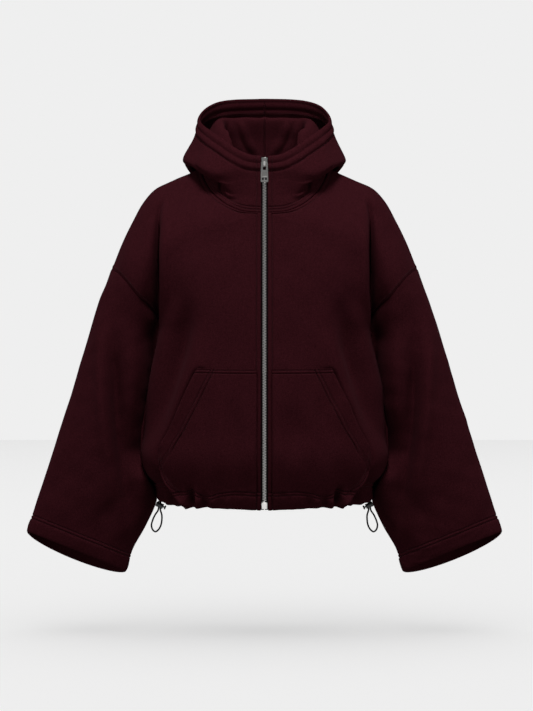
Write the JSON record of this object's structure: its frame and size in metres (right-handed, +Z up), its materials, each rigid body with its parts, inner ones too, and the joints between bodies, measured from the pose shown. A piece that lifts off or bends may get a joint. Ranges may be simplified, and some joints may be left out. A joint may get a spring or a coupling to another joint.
{
  "type": "zip-up hoodie",
  "caption": "Hollow worn form of a short, wide zip-up hoodie with dropped shoulders, slanted pockets, a hood that lies back and a drawcord hem.",
  "frame": {"origin": "middle of the base of the neck, where the garment is carried when it is worn", "axes": "+Z up along the wearer's neck, -Y the way the zip faces, +X towards the wearer's left sleeve"},
  "size_m": [0.8988, 0.3426, 0.9118],
  "materials": {
    "fleece": "brushed cotton fleece, deep burgundy",
    "hood_fleece": "brushed cotton fleece, deep burgundy",
    "zip_tape": "woven tape",
    "zip_metal": "polished",
    "cord_lock_plastic": "satin",
    "cord": "braided"
  },
  "bodies": {
    "garment": {"front_left": "fleece", "front_right": "fleece", "back": "fleece", "sleeve_left": "fleece", "sleeve_right": "fleece", "hood_left": "hood_fleece", "hood_right": "hood_fleece", "pocket_left": "fleece", "pocket_right": "fleece", "zip_tape_left": "zip_tape", "zip_tape_right": "zip_tape", "zip_chain": "zip_metal", "zip_slider": "zip_metal", "zip_box": "zip_metal", "cord_lock_left": "cord_lock_plastic", "cord_lock_right": "cord_lock_plastic", "hem_cord_left": "cord", "hem_cord_right": "cord"},
    "pull": {"zip_pull": "zip_metal"},
    "button_left": {"cord_button_left": "cord_lock_plastic"},
    "button_right": {"cord_button_right": "cord_lock_plastic"}
  },
  "joints": [
    {"name": "pull_hinge", "type": "hinge", "parent": "garment", "child": "pull", "pos_m": [0, -0.09818, -0.0152], "axis": [-1, 0, 0], "range_deg": [0, 170]},
    {"name": "button_left_press", "type": "slide", "parent": "garment", "child": "button_left", "axis": [-0.9135, 0, 0.4067], "range_m": [0, 0.002], "stiffness_N_per_m": 400, "springref_m": -0.003},
    {"name": "button_right_press", "type": "slide", "parent": "garment", "child": "button_right", "axis": [0.9135, 0, 0.4067], "range_m": [0, 0.002], "stiffness_N_per_m": 400, "springref_m": -0.003}
  ]
}
